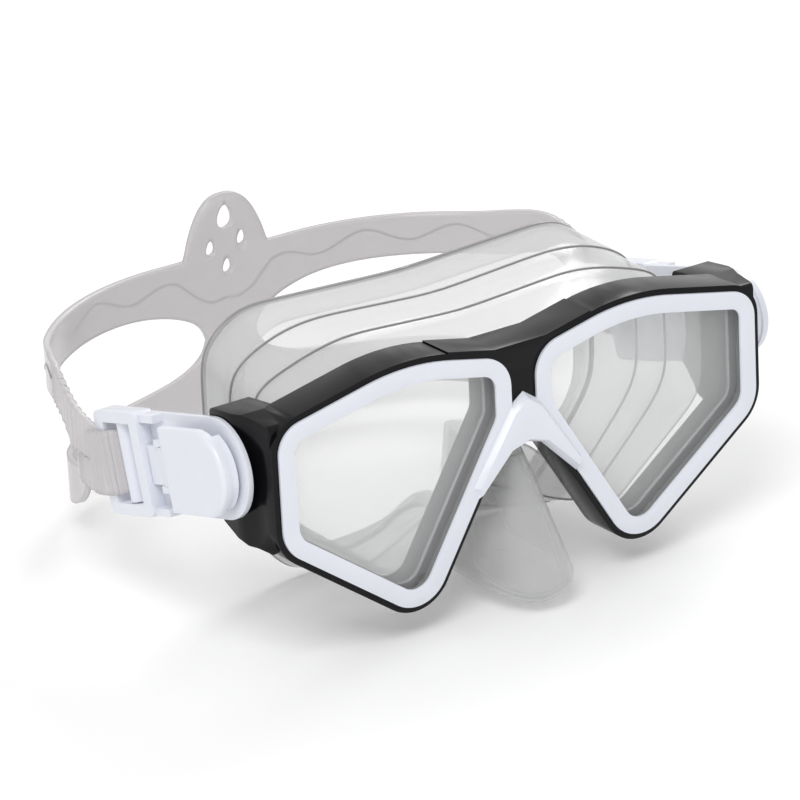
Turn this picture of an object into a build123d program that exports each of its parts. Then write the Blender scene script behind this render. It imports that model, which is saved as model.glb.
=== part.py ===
"""Two-window diving mask with a swivelling split strap. Millimetres, +Z up, the wearer looks along -Y.

The origin is on the surface under the mask, below the middle of its plan."""

import os
from math import cos, radians, sin

from build123d import *

os.makedirs("parts", exist_ok=True)

# Overall sizes, measured from the plane of the window rims
nose_reach = 14.0            # how far the nose pocket stands in front of the rims
strap_reach = 138.0          # back of the strap, behind the rims
eye_height = 45.0            # mid line of the windows above the surface
front_y = (nose_reach - strap_reach) / 2

# White rims and windows: outer corners of the left-hand rim (X, height) and their radii
rim_corners = [(3.9, 22.0), (34.0, 28.6), (73.3, 20.3), (73.3, -10.6), (32.4, -40.7), (3.9, 5.7)]
rim_radii = [9.0, 60.0, 8.0, 10.0, 10.0, 9.0]
rim_width = 4.6
rim_proud = 0.8
nose_ridge = 1.8
nose_slope = 25.0
lens_thickness = 3.2
lens_lap = 2.4
gasket_thickness = 1.2
seat_depth = rim_proud + 1.2

# Black frame
frame_border = 1.6
frame_depth = 12.0
arm_inside = 66.0
arm_front = 74.6
arm_waist = 75.2
arm_outside = 77.0
arm_depth = 25.0

# Skirt and nose pocket
skirt_wall = 1.6
skirt_depth = 42.0
skirt_gap = 0.3
seal_width = 8.0
pocket_wall = 1.5
pocket_half_width = 13.0

# Buckle, measured from its swivel pin; u runs back along the strap and w runs up
pivot_depth = 19.0
pivot_height = 7.0
buckle_droop = 14.0
pin_radius = 1.5
running_gap = 0.05
base_gap = 0.3
base_length = 43.0
base_width = 26.0
cover_width = 22.0
base_plate = 1.5
cover_straight = 17.0
cover_gap = 3.6
cover_plate = 2.4
cover_travel = 0.8
cover_peg_place = 16.0
cover_peg_gap = 0.3
pawl_pin_place = 22.0
pawl_pin_radius = 0.8
pawl_length = 15.0
pawl_width = 10.0
pawl_thickness = 1.2
cheek_thickness = 1.8
keeper_length = 21.0
keeper_bar = 4.0
keeper_height = 5.5
roller_radius = 2.2
journal_radius = 1.0
spring_thickness = 0.4

# Strap
strap_half_width = 84.0
strap_corner = 62.0
strap_thickness = 2.0
strap_top = 13.0
strap_bottom = -37.0
band_width = 11.5
stem_width = 18.0
tail_width = 19.0
tail_gap = 0.5
pad_width = 21.0
pad_height = 32.0
hang_hole_radius = 2.6
small_hole_radius = 1.7


def face_plane(depth):
    """Upright plane behind the rims by depth, seen from the front: local x is X, local y is height."""
    return Plane(origin=(0, front_y + depth, eye_height), x_dir=(1, 0, 0), z_dir=(0, -1, 0))


def level_plane(height):
    """Level plane at a height from the mid line: local x is X, local y is depth behind the rims."""
    return Plane(origin=(0, front_y, eye_height + height), x_dir=(1, 0, 0), z_dir=(0, 0, 1))


def side_plane(x):
    """Upright plane across the mask: local x is depth behind the rims, local y is height."""
    return Plane(origin=(x, front_y, eye_height), x_dir=(0, 1, 0), z_dir=(1, 0, 0))


def rim_shape(grow):
    """Both rim outlines, grown or shrunk all round."""
    with BuildSketch() as outline:
        with BuildLine():
            Polyline(*rim_corners, close=True)
        make_face()
        for corner, radius in zip(rim_corners, rim_radii):
            fillet(outline.vertices().sort_by_distance((*corner, 0))[0], radius)
        if grow:
            offset(amount=grow, kind=Kind.ARC)
        mirror(about=Plane.YZ)
    return outline.sketch


# Side arms: waisted in side view, flared outwards in plan to the ear that carries the swivel pin
arms = []
for side in (-1, 1):
    with BuildPart() as arm:
        with BuildSketch(side_plane(side * arm_inside)) as arm_side:
            with BuildLine():
                Polyline((2, 21.5), (12, 22.5), (arm_depth, 21), (arm_depth - 1, 12), (arm_depth - 2, 3),
                         (arm_depth, -5), (arm_depth - 4, -8), (12, -12), (2, -12), close=True)
            make_face()
            fillet(arm_side.vertices(), 1.5)
        extrude(amount=side * (arm_outside - arm_inside))
        with BuildSketch(level_plane(-30)):
            with BuildLine():
                Polyline((side * arm_inside, 1.5), (side * arm_front, 1.5), (side * arm_waist, 9),
                         (side * arm_outside, 15), (side * arm_outside, arm_depth + 1),
                         (side * arm_inside, arm_depth + 1), close=True)
            make_face()
        extrude(amount=60, mode=Mode.INTERSECT)
    arms.append(arm.part)

# Black frame: both window walls, the bridge between them and a side arm with an ear for the swivel pin
with BuildPart() as frame:
    with BuildSketch(face_plane(rim_proud)):
        add(rim_shape(frame_border))
        with BuildLine():
            Polyline((-22, 28), (-8, 25), (8, 25), (22, 28), (9, 4), (0, 8), (-9, 4), close=True)
        make_face()
    extrude(amount=-(frame_depth - rim_proud))
    add(arms)
    with BuildSketch(face_plane(-1)):
        add(rim_shape(-rim_width + lens_lap + 0.1))
    extrude(amount=-(seat_depth + lens_thickness + gasket_thickness + 1), mode=Mode.SUBTRACT)
    with BuildSketch(face_plane(-1)):
        add(rim_shape(-rim_width))
    extrude(amount=-(arm_depth + 10), mode=Mode.SUBTRACT)
    for side in (-1, 1):
        with Locations(Location((side * arm_outside, front_y + pivot_depth, eye_height + pivot_height),
                                (0, 90, 0))):
            Cylinder(pin_radius, 8, mode=Mode.SUBTRACT)
frame.part.label = "frame"
export_step(frame.part, "parts/frame.step")

# White bezel: two flat rims and the nose bridge between them, with a crease down the middle
with BuildPart() as bezel:
    with BuildSketch(face_plane(0)):
        add(rim_shape(0))
        add(rim_shape(-rim_width), mode=Mode.SUBTRACT)
    extrude(amount=-rim_proud)
    with BuildSketch(face_plane(rim_proud)):
        with BuildLine():
            Polyline((0, 12), (5, 8.5), (10, 1), (17, -9.5), (15.5, -13.5), (11, -9), (5, -3), (0, -1.5))
            Line((0, -1.5), (0, 12))
        make_face()
        mirror(about=Plane.YZ)
    extrude(amount=rim_proud + nose_ridge, taper=nose_slope)
    with BuildSketch(face_plane(-1)):
        add(rim_shape(-rim_width))
    extrude(amount=-20, both=True, mode=Mode.SUBTRACT)
bezel.part.label = "bezel"
export_step(bezel.part, "parts/bezel.step")

# Windows and the gasket behind each one
for name, side in (("left", -1), ("right", 1)):
    with BuildPart() as lens:
        with BuildSketch(face_plane(seat_depth)):
            add(rim_shape(-rim_width + lens_lap))
        extrude(amount=-lens_thickness)
        split(bisect_by=Plane.YZ, keep=Keep.TOP if side > 0 else Keep.BOTTOM)
    lens.part.label = f"lens_{name}"
    export_step(lens.part, f"parts/lens_{name}.step")
    with BuildPart() as gasket:
        with BuildSketch(face_plane(seat_depth + lens_thickness)):
            add(rim_shape(-rim_width + lens_lap))
            add(rim_shape(-rim_width), mode=Mode.SUBTRACT)
        extrude(amount=-gasket_thickness)
        split(bisect_by=Plane.YZ, keep=Keep.TOP if side > 0 else Keep.BOTTOM)
    gasket.part.label = f"gasket_{name}"
    export_step(gasket.part, f"parts/gasket_{name}.step")


def skirt_front(shrink):
    """Mouth of the skirt where it meets the frame."""
    with BuildSketch() as mouth:
        with BuildLine():
            Polyline((-68, 19), (-34, 27), (34, 27), (68, 19), (68, -9), (34, -37), (-34, -37), (-68, -9),
                     close=True)
        make_face()
        fillet(mouth.vertices(), 8)
        offset(amount=-shrink)
    return mouth.sketch


def skirt_back(shrink):
    """Face seal of the skirt."""
    with BuildSketch() as seal:
        with BuildLine():
            Polyline((-60, 20), (-48, 32), (48, 32), (60, 20), (60, -16), (38, -44), (-38, -44), (-60, -16),
                     close=True)
        make_face()
        fillet(seal.vertices(), 8)
        offset(amount=-shrink)
    return seal.sketch


skirt_start = frame_depth + skirt_gap

# Solid shapes of the nose pocket's outside and inside, a wedge that widens downwards
pocket_blocks = []
for shrink in (0, pocket_wall):
    with BuildPart() as block:
        with BuildSketch(side_plane(shrink - pocket_half_width)) as profile:
            with BuildLine():
                Polyline((6, -6), (-nose_reach, -38), (-nose_reach, 2 - eye_height),
                         (-nose_reach + 6, -eye_height), (24, -eye_height), (36, 3 - eye_height),
                         (34, -10), (14, -7), close=True)
            make_face()
            fillet(profile.vertices(), 2.5)
            if shrink:
                offset(amount=-shrink)
        extrude(amount=2 * (pocket_half_width - shrink))
        with BuildSketch(face_plane(-nose_reach - 1)):
            with BuildLine():
                Polyline((-4, 0), (4, 0), (18, -46), (-18, -46), close=True)
            make_face()
            if shrink:
                offset(amount=-shrink)
        extrude(amount=-60, mode=Mode.INTERSECT)
    pocket_blocks.append(block.part)

# Nose pocket, open at the back
with BuildPart() as pocket:
    add(pocket_blocks[0])
    add(pocket_blocks[1], mode=Mode.SUBTRACT)
    with BuildSketch(face_plane(30)):
        with Locations((0, -25)):
            Rectangle(16, 30)
    extrude(amount=-skirt_depth, mode=Mode.SUBTRACT)
pocket.part.label = "nose_pocket"
export_step(pocket.part, "parts/nose_pocket.step")

# Clear skirt: a thin funnel from the frame to the face and a seal lip turned in
with BuildPart() as skirt:
    for shrink, mode in ((0, Mode.ADD), (skirt_wall, Mode.SUBTRACT)):
        with BuildSketch(face_plane(skirt_start)):
            add(skirt_front(shrink))
        with BuildSketch(face_plane(skirt_start + skirt_depth)):
            add(skirt_back(shrink))
        loft(mode=mode)
    with BuildSketch(face_plane(skirt_start + skirt_depth - skirt_wall)):
        add(skirt_back(skirt_wall / 2))
        add(skirt_back(seal_width), mode=Mode.SUBTRACT)
    extrude(amount=-skirt_wall)
    with BuildSketch(face_plane(30)):
        with Locations((0, -25)):
            Rectangle(16, 30)
    extrude(amount=-skirt_depth, mode=Mode.SUBTRACT)
    add(pocket_blocks[0], mode=Mode.SUBTRACT)
skirt.part.label = "skirt"
export_step(skirt.part, "parts/skirt.step")

# Clear split strap: one band round the head, opened on each side, with a holed pad at the back
with BuildPart() as strap:
    with BuildSketch(level_plane(strap_bottom)) as plan:
        with Locations((0, strap_reach - 80)):
            RectangleRounded(2 * strap_half_width, 160, strap_corner)
        offset(amount=-strap_thickness, mode=Mode.SUBTRACT)
    extrude(amount=strap_top - strap_bottom)
    keeper_end = base_length - base_width / 2 + keeper_length + tail_gap
    tail_start = pivot_depth + keeper_end * cos(radians(buckle_droop))
    tail_middle = pivot_height - keeper_end * sin(radians(buckle_droop))
    tail_rise = tail_width / 2 * cos(radians(buckle_droop))
    tail_lean = tail_width / 2 * sin(radians(buckle_droop))
    with BuildSketch(side_plane(0)) as side_view:
        with BuildLine():
            Polyline((tail_start + tail_lean, tail_middle + tail_rise), (tail_start + 12, tail_middle + 11),
                     (tail_start + 30, strap_top), (strap_reach + 1, strap_top),
                     (strap_reach + 1, strap_bottom), (tail_start + 28, strap_bottom),
                     (tail_start + 12, tail_middle - 11), (tail_start - tail_lean, tail_middle - tail_rise),
                     close=True)
        make_face()
    extrude(amount=100, both=True, mode=Mode.INTERSECT)
    for side in (-1, 1):
        with BuildSketch(side_plane(side * stem_width / 2)) as opening:
            with BuildLine():
                Polyline((tail_start + 16, tail_middle + 3), (tail_start + 34, strap_top - band_width),
                         (strap_reach + 5, strap_top - band_width),
                         (strap_reach + 5, strap_bottom + band_width),
                         (tail_start + 32, strap_bottom + band_width), (tail_start + 16, tail_middle - 3),
                         close=True)
            make_face()
            fillet(opening.vertices(), 2.5)
        extrude(amount=side * 100, mode=Mode.SUBTRACT)
    with BuildSketch(face_plane(strap_reach)):
        with Locations((0, strap_top + 1)):
            Ellipse(pad_width / 2, pad_height / 2)
        with Locations((0, strap_top + 9)):
            Circle(hang_hole_radius, mode=Mode.SUBTRACT)
        with Locations((-5.5, strap_top + 1.5), (5.5, strap_top + 1.5), (0, strap_top - 4.5)):
            Circle(small_hole_radius, mode=Mode.SUBTRACT)
    extrude(amount=strap_thickness)
    with BuildSketch(face_plane(strap_reach)):
        with Locations((-5.5, strap_top + 1.5), (5.5, strap_top + 1.5), (0, strap_top - 4.5)):
            Circle(small_hole_radius)
    extrude(amount=strap_thickness, mode=Mode.SUBTRACT)
strap.part.label = "strap"
export_step(strap.part, "parts/strap.step")


def buckle_plane(side, height, along=0.0):
    """Plane of a buckle: local x runs back along the strap from the pin, height is outwards."""
    droop = radians(buckle_droop)
    return Plane(origin=(side * (arm_outside + height),
                         front_y + pivot_depth + along * cos(droop),
                         eye_height + pivot_height - along * sin(droop)),
                 x_dir=(0, cos(droop), -sin(droop)), z_dir=(side, 0, 0))


nose_length = base_width / 2
plate_top = base_gap + base_plate
pawl_level = plate_top + 1.2
cover_level = base_gap + base_plate + cover_gap
base_end = base_length - nose_length
keeper_middle = base_end + keeper_length / 2
roller_level = base_gap + keeper_height / 2

for name, side in (("left", -1), ("right", 1)):
    # Pin that the buckle swivels on, with a flat head over the base plate
    with BuildPart() as swivel_pin:
        with BuildSketch(buckle_plane(side, -4)):
            Circle(pin_radius)
        extrude(amount=4 + plate_top + running_gap)
        with BuildSketch(buckle_plane(side, plate_top + running_gap)):
            Circle(2 * pin_radius)
        extrude(amount=1.0)
    swivel_pin.part.label = f"swivel_pin_{name}"
    export_step(swivel_pin.part, f"parts/swivel_pin_{name}.step")

    # Base plate, round at the pin, with cheeks for the pawl pin and a rail along each side
    with BuildPart() as base:
        with BuildSketch(buckle_plane(side, base_gap)):
            Circle(base_width / 2)
            with Locations((base_end / 2, 0)):
                Rectangle(base_end, base_width)
            Circle(pin_radius + running_gap, mode=Mode.SUBTRACT)
        extrude(amount=base_plate)
        with BuildSketch(buckle_plane(side, plate_top)):
            with Locations((pawl_pin_place, (pawl_width + cheek_thickness) / 2 + 0.1),
                           (pawl_pin_place, -(pawl_width + cheek_thickness) / 2 - 0.1)):
                Rectangle(5, cheek_thickness)
        extrude(amount=3.2)
        with BuildSketch(buckle_plane(side, plate_top)):
            with Locations((base_end - 3.5, base_width / 2 - 1), (base_end - 3.5, 1 - base_width / 2)):
                Rectangle(7, 2)
        extrude(amount=3.2)
        with Locations(buckle_plane(side, pawl_level + pawl_thickness / 2, pawl_pin_place)):
            Cylinder(pawl_pin_radius, 30, rotation=(90, 0, 0), mode=Mode.SUBTRACT)
    base.part.label = f"buckle_base_{name}"
    export_step(base.part, f"parts/buckle_base_{name}.step")

    # Pawl pin, fixed in the cheeks
    with BuildPart() as pawl_pin:
        with Locations(buckle_plane(side, pawl_level + pawl_thickness / 2, pawl_pin_place)):
            Cylinder(pawl_pin_radius, pawl_width + 2 * cheek_thickness + 0.2, rotation=(90, 0, 0))
    pawl_pin.part.label = f"pawl_pin_{name}"
    export_step(pawl_pin.part, f"parts/pawl_pin_{name}.step")

    # Pawl: a rocking plate on its pin, with a sleeve round the pin
    with BuildPart() as pawl:
        with BuildSketch(buckle_plane(side, pawl_level)):
            with Locations((pawl_pin_place, 0)):
                Rectangle(pawl_length, pawl_width)
        extrude(amount=pawl_thickness)
        with Locations(buckle_plane(side, pawl_level + pawl_thickness / 2, pawl_pin_place)):
            Cylinder(pawl_pin_radius + 0.8, pawl_width, rotation=(90, 0, 0))
            Cylinder(pawl_pin_radius + running_gap, pawl_width, rotation=(90, 0, 0), mode=Mode.SUBTRACT)
    pawl.part.label = f"pawl_{name}"
    export_step(pawl.part, f"parts/pawl_{name}.step")

    # Leaf spring between the base plate and the cover
    with BuildPart() as spring:
        with BuildSketch(buckle_plane(side, plate_top)):
            with Locations((8, 0)):
                Rectangle(6, 8)
        extrude(amount=spring_thickness)
    spring.part.label = f"return_spring_{name}"
    export_step(spring.part, f"parts/return_spring_{name}.step")

    # Release cover: the round plate that is pressed, with a soft edge
    with BuildPart() as cover:
        with BuildSketch(buckle_plane(side, cover_level)):
            Circle(cover_width / 2)
            with Locations((cover_straight / 2, 0)):
                Rectangle(cover_straight, cover_width)
        extrude(amount=cover_plate)
        fillet(cover.faces().sort_by(Axis.X)[-1 if side > 0 else 0].edges(), 1.2)
        with BuildSketch(buckle_plane(side, cover_level)):
            Circle(cover_width / 2 - 0.5)
            Circle(cover_width / 2 - 2, mode=Mode.SUBTRACT)
            with Locations((15, 0)):
                Rectangle(40, 60, mode=Mode.SUBTRACT)
        extrude(amount=-(cover_gap - cover_travel - 0.4))
        with BuildSketch(buckle_plane(side, cover_level, cover_peg_place)):
            Rectangle(2, 6)
        extrude(amount=-(cover_level - pawl_level - pawl_thickness - cover_peg_gap))
    cover.part.label = f"release_cover_{name}"
    export_step(cover.part, f"parts/release_cover_{name}.step")

    # Strap keeper: an open frame that carries the roller
    with BuildPart() as keeper:
        with BuildSketch(buckle_plane(side, base_gap, keeper_middle)) as ring:
            Rectangle(keeper_length, base_width + 1)
            fillet(ring.vertices(), 2)
            Rectangle(keeper_length - 2 * keeper_bar, base_width - 5, mode=Mode.SUBTRACT)
        extrude(amount=keeper_height)
        with Locations(buckle_plane(side, roller_level, keeper_middle)):
            Cylinder(journal_radius + running_gap, base_width - 2, rotation=(90, 0, 0), mode=Mode.SUBTRACT)
    keeper.part.label = f"strap_keeper_{name}"
    export_step(keeper.part, f"parts/strap_keeper_{name}.step")

    # Roller that the strap turns on, with a thin journal at each end
    with BuildPart() as roller:
        with Locations(buckle_plane(side, roller_level, keeper_middle)):
            Cylinder(roller_radius, base_width - 5.6, rotation=(90, 0, 0))
            Cylinder(journal_radius, base_width - 2.4, rotation=(90, 0, 0))
    roller.part.label = f"strap_roller_{name}"
    export_step(roller.part, f"parts/strap_roller_{name}.step")
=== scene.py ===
"""Looks of the two-window diving mask: moulded silicone skirt and strap, gloss frame and satin buckles."""

import bmesh
import bpy
import numpy as np
from mathutils import Matrix, Vector


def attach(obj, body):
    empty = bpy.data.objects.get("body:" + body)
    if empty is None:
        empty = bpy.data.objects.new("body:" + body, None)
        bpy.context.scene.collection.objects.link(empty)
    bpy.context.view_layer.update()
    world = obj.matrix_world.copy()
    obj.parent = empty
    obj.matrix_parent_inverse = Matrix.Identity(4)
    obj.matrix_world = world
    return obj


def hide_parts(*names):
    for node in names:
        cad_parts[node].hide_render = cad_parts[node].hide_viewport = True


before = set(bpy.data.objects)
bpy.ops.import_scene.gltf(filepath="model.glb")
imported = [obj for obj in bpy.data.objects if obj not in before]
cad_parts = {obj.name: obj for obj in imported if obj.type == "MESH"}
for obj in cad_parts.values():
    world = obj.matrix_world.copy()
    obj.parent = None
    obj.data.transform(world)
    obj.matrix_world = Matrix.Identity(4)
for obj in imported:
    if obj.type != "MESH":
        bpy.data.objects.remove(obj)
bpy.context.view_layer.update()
scene = bpy.context.scene
scene.view_settings.view_transform = "Standard"

MM = 0.001
FRONT_Y = -62.0          # plane of the window rims in the row frame
EYE_HEIGHT = 45.0        # mid line of the windows above the floor


def row(x, depth, height):
    """Points of the row frame, in metres, from X, depth behind the rims and height over the mid line."""
    x, depth, height = np.broadcast_arrays(x, depth, height)
    return np.stack([x, FRONT_Y + depth, EYE_HEIGHT + height], axis=-1) * MM


# ---------------------------------------------------------------- materials

class Socket:
    """A shader socket that takes part in plain arithmetic; each operator adds one Math node."""

    def __init__(self, tree, link):
        self.tree = tree
        self.link = link

    def maths(self, operation, other, swap=False):
        pair = (other, self) if swap else (self, other)
        return make(self.tree, "ShaderNodeMath", {"operation": operation}, {0: pair[0], 1: pair[1]})

    def __add__(self, other):
        return self.maths("ADD", other)

    def __radd__(self, other):
        return self.maths("ADD", other, True)

    def __sub__(self, other):
        return self.maths("SUBTRACT", other)

    def __rsub__(self, other):
        return self.maths("SUBTRACT", other, True)

    def __mul__(self, other):
        return self.maths("MULTIPLY", other)

    def __rmul__(self, other):
        return self.maths("MULTIPLY", other, True)

    def __pow__(self, other):
        return self.maths("POWER", other)


def make(tree, kind, settings=None, values=None, output=0):
    """Adds a node of one kind, sets it up, fills or links its sockets and returns one output."""
    node = tree.nodes.new(kind)
    for key, value in (settings or {}).items():
        setattr(node, key, value)
    for key, value in (values or {}).items():
        if isinstance(value, Socket):
            tree.links.new(value.link, node.inputs[key])
        else:
            node.inputs[key].default_value = value
    return Socket(tree, node.outputs[output])


def material(name, **constants):
    """A new material, its node tree and its main shader with the constant sockets set."""
    made = bpy.data.materials.new(name)
    made.use_nodes = True
    shader = made.node_tree.nodes["Principled BSDF"]
    for key, value in constants.items():
        shader.inputs[key.replace("_", " ")].default_value = value
    return made, made.node_tree, shader


def feed(tree, shader, socket, value):
    """Links a varying value into one socket of the shader."""
    tree.links.new(value.link, shader.inputs[socket])


def object_noise(tree, scale, detail=3.0):
    """Noise on the object's own coordinates, in metres."""
    place = make(tree, "ShaderNodeTexCoord", output=3)
    return make(tree, "ShaderNodeTexNoise", None, {"Vector": place, "Scale": scale, "Detail": detail})


def moulded(name, colour, roughness, spread, grain, coat=0.0, gloss=0.5):
    """Moulded plastic: fine grain in the gloss and a faint orange peel in the surface."""
    made, tree, shader = material(name, Base_Color=(*colour, 1.0), Coat_Weight=coat, Coat_Roughness=0.08,
                                  Specular_IOR_Level=gloss)
    cloudy = object_noise(tree, 260.0)
    feed(tree, shader, "Roughness", roughness + (cloudy - 0.5) * spread)
    peel = make(tree, "ShaderNodeBump", None,
                {"Strength": 0.12, "Distance": grain, "Height": object_noise(tree, 1400.0)})
    feed(tree, shader, "Normal", peel)
    shade = make(tree, "ShaderNodeMix", {"data_type": "RGBA"},
                 {0: object_noise(tree, 90.0), 6: (*colour, 1.0),
                  7: (*[c * 0.94 for c in colour], 1.0)}, output=2)
    feed(tree, shader, "Base Color", shade)
    return made


def clear_rubber(name, colour, face, edge, power, roughness):
    """Clear silicone: thin where it faces the eye and denser where it is seen edge on."""
    made, tree, shader = material(name, Base_Color=(*colour, 1.0), Specular_IOR_Level=0.6)
    facing = make(tree, "ShaderNodeLayerWeight", None, {"Blend": 0.5}, output=1)
    cloudy = object_noise(tree, 45.0)
    feed(tree, shader, "Alpha", face + (edge - face) * facing ** power + (cloudy - 0.5) * 0.06)
    feed(tree, shader, "Roughness", roughness + (cloudy - 0.5) * 0.1)
    soft = make(tree, "ShaderNodeBump", None,
                {"Strength": 0.1, "Distance": 0.0006, "Height": object_noise(tree, 120.0)})
    feed(tree, shader, "Normal", soft)
    return made


black_gloss = moulded("black_gloss_plastic", (0.004, 0.004, 0.005), 0.22, 0.08, 0.00003, 0.0, 0.16)
white_satin = moulded("white_satin_plastic", (0.78, 0.8, 0.87), 0.3, 0.08, 0.00003, 0.2)
grey_rubber = moulded("grey_gasket_rubber", (0.4, 0.4, 0.41), 0.55, 0.1, 0.00004)
bare_steel = moulded("bare_steel", (0.6, 0.6, 0.6), 0.28, 0.12, 0.00002)
bare_steel.node_tree.nodes["Principled BSDF"].inputs["Metallic"].default_value = 1.0
skirt_rubber = clear_rubber("clear_skirt_silicone", (0.7, 0.705, 0.7), 0.26, 0.9, 2.0, 0.14)
strap_rubber = clear_rubber("clear_strap_silicone", (0.66, 0.635, 0.645), 0.72, 0.95, 1.6, 0.24)
# Dark grey silicone: the strap's wave line, and painted shade lines along the skirt's wall steps and seal
# fold
wave_and_painted_shade_rubber = clear_rubber("wave_and_painted_shade_silicone", (0.3, 0.29, 0.3), 0.85, 1.0, 1.0, 0.2)
window_glass, glass_tree, glass_shader = material(
    "window_glass", Base_Color=(0.93, 0.94, 0.94, 1.0), Roughness=0.03, Specular_IOR_Level=0.5)
feed(glass_tree, glass_shader, "Alpha",
     0.07 + 0.35 * make(glass_tree, "ShaderNodeLayerWeight", None, {"Blend": 0.4}, output=0))

# ---------------------------------------------------------------- meshes

def piece(name, points, faces, finish, body):
    """A finished piece from points and faces, with its normals outward, that rides on a body."""
    mesh = bpy.data.meshes.new(name)
    mesh.from_pydata(np.reshape(points, (-1, 3)).tolist(), [], faces)
    work = bmesh.new()
    work.from_mesh(mesh)
    bmesh.ops.remove_doubles(work, verts=work.verts, dist=0.00002)
    bmesh.ops.recalc_face_normals(work, faces=work.faces)
    work.to_mesh(mesh)
    work.free()
    mesh.shade_smooth()
    made = bpy.data.objects.new(name, mesh)
    scene.collection.objects.link(made)
    mesh.materials.append(finish)
    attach(made, body)
    return made


def grid_faces(rows, columns, wrap_columns=False):
    """Quads of a grid of points, with its last column joined to its first if asked."""
    column_count = columns if wrap_columns else columns - 1
    i, j = np.meshgrid(np.arange(rows - 1), np.arange(column_count), indexing="ij")
    i, j = i.ravel(), j.ravel()
    next_i, next_j = i + 1, (j + 1) % columns
    quads = np.stack([i * columns + j, next_i * columns + j,
                      next_i * columns + next_j, i * columns + next_j], axis=1)
    return quads.tolist()


def softened(node, finish, body, width):
    """A copy of a CAD node with its flat faces joined up and every sharp edge rounded by width."""
    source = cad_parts[node]
    mesh = source.data.copy()
    made = bpy.data.objects.new(node + "_moulded", mesh)
    scene.collection.objects.link(made)
    work = bmesh.new()
    work.from_mesh(mesh)
    bmesh.ops.remove_doubles(work, verts=work.verts, dist=0.00001)
    bmesh.ops.dissolve_limit(work, angle_limit=0.02, verts=work.verts, edges=work.edges)
    work.to_mesh(mesh)
    work.free()
    bevel = made.modifiers.new("rounded_edges", "BEVEL")
    bevel.width = width
    bevel.segments = 3
    bevel.limit_method = "ANGLE"
    bevel.angle_limit = 0.6
    bevel.harden_normals = True
    mesh.shade_smooth()
    mesh.materials.clear()
    mesh.materials.append(finish)
    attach(made, body)
    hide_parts(node)


softened("frame", black_gloss, "root", 0.0014)
softened("bezel", white_satin, "root", 0.0006)
for side in ("left", "right"):
    softened("strap_keeper_" + side, white_satin, "strap_yoke", 0.0006)
    softened("buckle_base_" + side, white_satin, "strap_yoke", 0.00035)

finishes = {"lens": window_glass, "gasket": grey_rubber, "swivel_pin": bare_steel, "pawl_pin": bare_steel,
            "return_spring": bare_steel, "pawl": white_satin, "release_cover": white_satin,
            "strap_roller": white_satin}
for node_name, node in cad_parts.items():
    kind = node_name.rsplit("_", 1)[0]
    if kind in finishes:
        node.data.materials.clear()
        node.data.materials.append(finishes[kind])

# ---------------------------------------------------------------- skirt

RING = 192               # points round each outline
SKIRT_WALL = 0.0014
POCKET_WALL = 0.0013


def ring(corners, passes):
    """A closed outline: its corners joined by straight runs, spaced evenly, then eased round the corners."""
    corners = np.array(corners, float)
    closed = np.vstack([corners, corners[:1]])
    run = np.concatenate([[0], np.cumsum(np.linalg.norm(np.diff(closed, axis=0), axis=1))])
    at = np.linspace(0, run[-1], RING, endpoint=False)
    x = np.interp(at, run, closed[:, 0])
    z = np.interp(at, run, closed[:, 1])
    for _ in range(passes):
        x = (np.roll(x, 1) + 2 * x + np.roll(x, -1)) / 4
        z = (np.roll(z, 1) + 2 * z + np.roll(z, -1)) / 4
    return np.stack([x, z], axis=1)


front_ring = ring([(0, 25), (34, 26), (67, 18), (67, -9), (34, -35), (8, -8), (0, -6), (-8, -8),
                   (-34, -35), (-67, -9), (-67, 18), (-34, 26)], 10)
middle_ring = ring([(0, 28), (40, 32), (64, 24), (66, -10), (38, -40), (12, -36), (0, -33), (-12, -36),
                    (-38, -40), (-66, -10), (-64, 24), (-40, 32)], 16)
back_ring = ring([(0, 29.5), (50, 31.8), (61, 23.5), (61, -16), (38, -44), (12, -42), (0, -34), (-12, -42),
                  (-38, -44), (-61, -16), (-61, 23.5), (-50, 31.8)], 14)


def skirt_surface():
    """The wall blends from the front ring to the back ring, with two steps, and its lip turns in at the end.

    The in-between outline is a quadratic blend of three rings; a smooth step widens it at each third."""
    t = np.linspace(0, 1, 48)[:, None, None]
    outline = (1 - t) ** 2 * front_ring + 2 * t * (1 - t) * middle_ring + t ** 2 * back_ring
    step = 1.0 / (1 + np.exp(-(t - 0.34) * 60)) + 1.0 / (1 + np.exp(-(t - 0.62) * 60))
    outline = outline * (0.975 + 0.0125 * step)
    depth = np.broadcast_to(12.4 + 41.0 * t[..., 0], outline.shape[:2])
    turn = np.linspace(0, 1, 16)[1:, None, None]
    lip = back_ring * (1 - 0.16 * turn ** 1.5)
    lip_depth = np.broadcast_to(53.4 + 1.0 * np.sin(turn[..., 0] * np.pi) - 4.0 * turn[..., 0] ** 2,
                                lip.shape[:2])
    outline = np.concatenate([outline, lip])
    depth = np.concatenate([depth, lip_depth])
    return row(outline[..., 0], depth, outline[..., 1])


def pocket_surface():
    """A pouch: each level is a rounded oblong, wider and further forward lower down, closed at the bottom."""
    t = np.linspace(0, 1, 40)[:, None]
    angle = np.linspace(0, 2 * np.pi, 96, endpoint=False)[None, :]
    close = np.sqrt(np.clip(1 - np.clip((t - 0.8) / 0.2, 0, 1) ** 2, 0, 1))
    half_width = (4.5 + 9.5 * t ** 0.9) * close
    front = 4.0 - 17.0 * t
    back = 34.0
    half_depth = (back - front) / 2 * (0.35 + 0.65 * close)
    along = np.sign(np.cos(angle)) * np.abs(np.cos(angle)) ** 0.7
    across = np.sign(np.sin(angle)) * np.abs(np.sin(angle)) ** 0.85
    height = -6.0 - 38.3 * t + 1.2 * np.sin(angle) ** 2 * t
    return row(half_width * across, (front + back) / 2 + half_depth * along, height)


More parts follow.
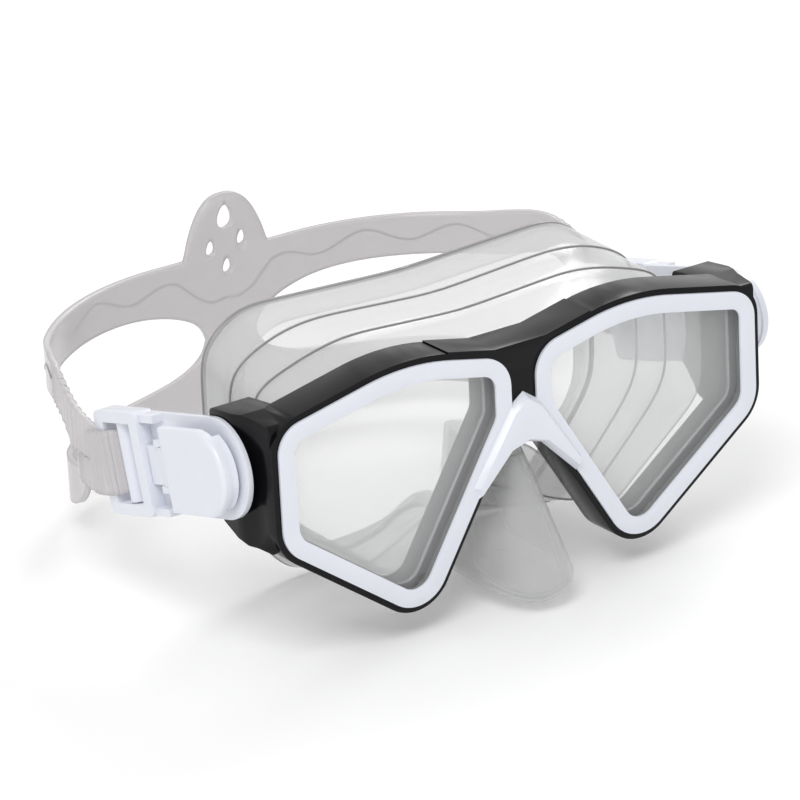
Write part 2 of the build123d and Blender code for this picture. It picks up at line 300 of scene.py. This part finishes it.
skirt_points = skirt_surface()
skirt = piece("skirt_shell", skirt_points, grid_faces(*skirt_points.shape[:2], wrap_columns=True),
              skirt_rubber, "root")
wall = skirt.modifiers.new("wall", "SOLIDIFY")
wall.thickness = SKIRT_WALL
wall.offset = -1
pocket_points = pocket_surface()
pocket = piece("nose_pocket", pocket_points, grid_faces(*pocket_points.shape[:2], wrap_columns=True),
               skirt_rubber, "root")
pocket_wall = pocket.modifiers.new("wall", "SOLIDIFY")
pocket_wall.thickness = POCKET_WALL
pocket_wall.offset = -1
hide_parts("skirt")
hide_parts("nose_pocket")

# ---------------------------------------------------------------- strap

STRAP_REACH = 138.0
STRAP_HALF = 84.0
STRAP_CORNER = 62.0
TAIL_START = 69.8
TAIL_MIDDLE = -5.8
STRAP_STEPS = 361
STRAP_SIDE = STRAP_REACH - STRAP_CORNER - TAIL_START     # straight run along each side of the head
STRAP_ARC = STRAP_CORNER * np.pi / 2
STRAP_FLAT = STRAP_HALF - STRAP_CORNER                   # half of the straight run at the back
STRAP_RUN = STRAP_SIDE + STRAP_ARC + STRAP_FLAT
STRAP_THICKNESS = 0.0018
BANDS_MEET = 80.0        # how far from the back the two bands start to draw together


def strap_path(u, inset):
    """X and depth round the head for u from -1 to 1: a straight side, a quarter circle, a straight back."""
    s = np.abs(u) * STRAP_RUN
    radius = STRAP_CORNER - inset
    turn = np.clip((s - STRAP_FLAT) / STRAP_CORNER, 0, np.pi / 2)
    x = np.minimum(s, STRAP_FLAT) + radius * np.sin(turn)
    side_run = np.clip(s - STRAP_FLAT - STRAP_ARC, 0, None)
    depth = STRAP_REACH - STRAP_CORNER + radius * np.cos(turn) - side_run
    return np.sign(u) * x, depth, s


def strap_edges(s):
    """Top, bottom and the two edges of the side opening, in height, at a distance s from the back."""
    w = np.clip((s - BANDS_MEET) / (STRAP_RUN - BANDS_MEET), 0, 1)
    w = w * w * (3 - 2 * w)
    top = 12.5 * (1 - w) + (TAIL_MIDDLE + 9.2) * w
    bottom = -36.6 * (1 - w) + (TAIL_MIDDLE - 9.2) * w
    top = top + 16.6 * np.clip(1 - (s / 13.0) ** 2.6, 0, 1) ** 0.9
    arch = np.exp(-((s - 100.0) / 14.0) ** 2)
    top = top + 5.0 * arch
    middle = -11.5 * (1 - w) + TAIL_MIDDLE * w
    u = np.clip((s - 8.0) / 104.0, 0, 1) * 2 - 1
    gap = 12.4 * np.clip(1 - np.abs(u) ** 3.4, 0, 1) ** 0.5
    upper = middle + gap + 3.0 * arch
    return top, bottom + 10.0 * arch, np.minimum(upper, top - 5.5), middle - gap * (1 - 0.55 * w)


def strap_shell():
    """Two strips, over and under the side openings, that meet where no opening parts them."""
    u = np.linspace(-1, 1, STRAP_STEPS)
    t = np.linspace(0, 1, 13)[None, :]
    s = strap_path(u, 0)[2]
    top, bottom, upper, lower = (edge[:, None] for edge in strap_edges(s))
    strips = []
    ribs = 0.25 * np.sin(s * 2 * np.pi / 2.2) * (s > 100)
    pull = 9.0 * np.exp(-((s - 92.0) / 17.0) ** 2)
    for low, high, pull_in in ((upper, top, 0.0), (bottom, lower, 1.0)):
        height = low + (high - low) * t
        x, depth, _ = strap_path(u, 1.2)
        x = x + np.sign(u) * (ribs - pull * pull_in)
        strips.append(row(x[:, None], depth[:, None], height))
    return strips


strap_upper, strap_lower = strap_shell()
rows, columns = strap_upper.shape[:2]
quads = grid_faces(rows, columns)
offset = rows * columns
strap = piece("strap_band", np.concatenate([strap_upper.reshape(-1, 3), strap_lower.reshape(-1, 3)]),
              quads + [[i + offset for i in quad] for quad in quads], strap_rubber, "strap_yoke")
band = strap.modifiers.new("thickness", "SOLIDIFY")
band.thickness = STRAP_THICKNESS
band.offset = 0


def pad_cutters():
    """Short posts through the pad: each outline is a tall oval that narrows towards its top."""
    sides = 32
    angle = np.linspace(0, 2 * np.pi, sides, endpoint=False)
    points, faces = [], []
    for x, height, radius in ((0, 22.5, 2.5), (-5.0, 14.5, 1.6), (5.0, 15.5, 1.6), (0, 8.5, 1.6)):
        across = radius * np.cos(angle) * (1 - 0.25 * np.sin(angle))
        rise = radius * 1.35 * np.sin(angle)
        start = len(points) * sides
        for depth in (STRAP_REACH - 8, STRAP_REACH + 6):
            points.append(row(x + across, depth, height + rise))
        far = start + sides
        faces += [[start + i, start + (i + 1) % sides, far + (i + 1) % sides, far + i]
                  for i in range(sides)]
        faces += [list(range(start, far)), list(range(far, far + sides))]
    return np.concatenate(points), faces


cutters = piece("pad_cutters", *pad_cutters(), strap_rubber, "strap_yoke")
holes = strap.modifiers.new("holes", "BOOLEAN")
holes.object = cutters
holes.solver = "EXACT"
cut_mesh = bpy.data.meshes.new_from_object(strap.evaluated_get(bpy.context.evaluated_depsgraph_get()))
strap.modifiers.clear()
strap.data = cut_mesh
strap.data.shade_smooth()
bpy.data.objects.remove(cutters)


def tube(name, centre, radius, finish, body, sides=10):
    """A round bead: a small circle carried along a line of points, square to it and closed at both ends."""
    ahead = np.gradient(centre, axis=0)
    ahead /= np.linalg.norm(ahead, axis=1)[:, None]
    up = np.array([0.0, 0.0, 1.0])
    across = np.cross(ahead, up)
    across /= np.linalg.norm(across, axis=1)[:, None]
    over = np.cross(across, ahead)
    angle = np.linspace(0, 2 * np.pi, sides, endpoint=False)[None, :, None]
    points = centre[:, None] + radius * (np.cos(angle) * across[:, None] + np.sin(angle) * over[:, None])
    count = len(centre)
    ends = [list(range(sides))[::-1], list(range((count - 1) * sides, count * sides))]
    return piece(name, points, grid_faces(count, sides, wrap_columns=True) + ends, finish, body)


wave_u = np.linspace(-0.8, 0.8, 500)
wave_x, wave_depth, wave_s = strap_path(wave_u, 0.36)
wave_top, _, wave_low, _ = strap_edges(np.maximum(wave_s, 16.0))
wave_dip = np.clip(1 - (wave_s / 15.0) ** 2, 0, 1)
wave_z = (wave_top + wave_low) / 2 + 2.0 * np.sin(wave_s * 2 * np.pi / 26.0 + 3.6) - 4.5 * wave_dip
tube("strap_wave", row(wave_x, wave_depth, wave_z), 0.00035, wave_and_painted_shade_rubber, "strap_yoke")
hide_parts("strap")

# Dark beads round the skirt are painted shade: one in the crease at each step of its wall and one along the
# fold of the face seal
for name, level, radius in (("skirt_step_front_painted_shade", 16, 0.00035), ("skirt_step_back_painted_shade", 29, 0.00035),
                            ("skirt_seal_painted_shade", 49, 0.0007)):
    centre = np.concatenate([skirt_points[level], skirt_points[level, :2]])    # runs a step past its start
    tube(name, centre, radius, wave_and_painted_shade_rubber, "root")

DROOP = np.radians(14.0)
PIN_DEPTH = 19.0
PIN_HEIGHT = 7.0
EAR_X = 77.0
TAIL_THICKNESS = 0.0011


def tail_loop(name, side):
    """The ribbed end of the strap: a profile over the keeper's rear bar and down behind the roller.

    Its points, back along the strap and outward, are eased into a curve, with a small wave for the ribs."""
    t = np.linspace(0, 1, 60)
    corner = np.linspace(0, 1, 6)
    back = np.interp(t, corner, [57.0, 53.5, 50.5, 47.5, 45.2, 44.0])
    out = np.interp(t, corner, [5.6, 6.5, 6.7, 6.6, 5.2, 2.4])
    for _ in range(40):
        back[1:-1] = (back[:-2] + 2 * back[1:-1] + back[2:]) / 4
        out[1:-1] = (out[:-2] + 2 * out[1:-1] + out[2:]) / 4
    out = out + 0.16 * np.sin(t * 2 * np.pi * 9)
    rise = np.linspace(-8.4, 8.4, 12)[None, :]
    depth = PIN_DEPTH + back[:, None] * np.cos(DROOP) + rise * np.sin(DROOP)
    height = PIN_HEIGHT - back[:, None] * np.sin(DROOP) + rise * np.cos(DROOP)
    points = row(side * (EAR_X + out[:, None]), depth, height)
    made = piece(name, points, grid_faces(*points.shape[:2]), strap_rubber, "strap_yoke")
    wall = made.modifiers.new("thickness", "SOLIDIFY")
    wall.thickness = TAIL_THICKNESS
    wall.offset = 0


tail_loop("strap_end_left", -1)
tail_loop("strap_end_right", 1)

# ---------------------------------------------------------------- floor, light and camera

def area_light(name, place, aim, size, power):
    """A soft square lamp at a place, turned to its aim."""
    lamp = bpy.data.lights.new(name, "AREA")
    lamp.size = size
    lamp.energy = power
    made = bpy.data.objects.new(name, lamp)
    scene.collection.objects.link(made)
    made.location = place
    direction = made.location - Vector(aim)
    made.rotation_euler = direction.to_track_quat("Z", "Y").to_euler()


area_light("key_lamp", (-0.5, -0.5, 0.9), (0, 0, 0.04), 0.5, 5.0)
area_light("rim_lamp", (0.7, 0.4, 0.7), (0, 0, 0.04), 0.4, 3.0)

world = bpy.data.worlds.new("studio")
scene.world = world
world.use_nodes = True
sky = world.node_tree
background = sky.nodes["Background"]
background.inputs["Color"].default_value = (1, 1, 1, 1)
seen = [make(sky, "ShaderNodeLightPath", output=name) for name in
        ("Is Camera Ray", "Is Glossy Ray", "Is Transmission Ray")]
shown = make(sky, "ShaderNodeMath", {"operation": "MAXIMUM"}, {0: seen[0], 1: seen[1]})
shown = make(sky, "ShaderNodeMath", {"operation": "MAXIMUM"}, {0: shown, 1: seen[2]})
sky.links.new((0.62 + shown * 0.38).link, background.inputs["Strength"])

floor_finish = material("pale_floor", Base_Color=(0.9, 0.9, 0.9, 1.0), Roughness=0.9,
                        Emission_Color=(1, 1, 1, 1), Emission_Strength=0.12)[0]
HALF_FLOOR = 2.0
FLOOR_LEVEL = -0.0002    # just under the mask, so that no faces share a plane
floor_points = [(x * HALF_FLOOR, y * HALF_FLOOR, FLOOR_LEVEL)
                for x, y in ((-1, -1), (1, -1), (1, 1), (-1, 1))]
floor_mesh = bpy.data.meshes.new("floor")
floor_mesh.from_pydata(floor_points, [], [(0, 1, 2, 3)])
floor_mesh.materials.append(floor_finish)
floor = bpy.data.objects.new("floor", floor_mesh)
scene.collection.objects.link(floor)

camera = bpy.data.cameras.new("camera")
camera.sensor_width = 36.0
camera.lens = 225.7
camera_object = bpy.data.objects.new("camera", camera)
scene.collection.objects.link(camera_object)
right = (0.8192, -0.5716, -0.0479)
up = (0.2472, 0.2764, 0.9287)
back = (-0.5176, -0.7726, 0.3677)
place = row(-672.76, -948.34, 471.08)
camera_axes = [(right[i], up[i], back[i], place[i]) for i in range(3)]
camera_object.matrix_world = Matrix(camera_axes + [(0, 0, 0, 1)])
scene.camera = camera_object
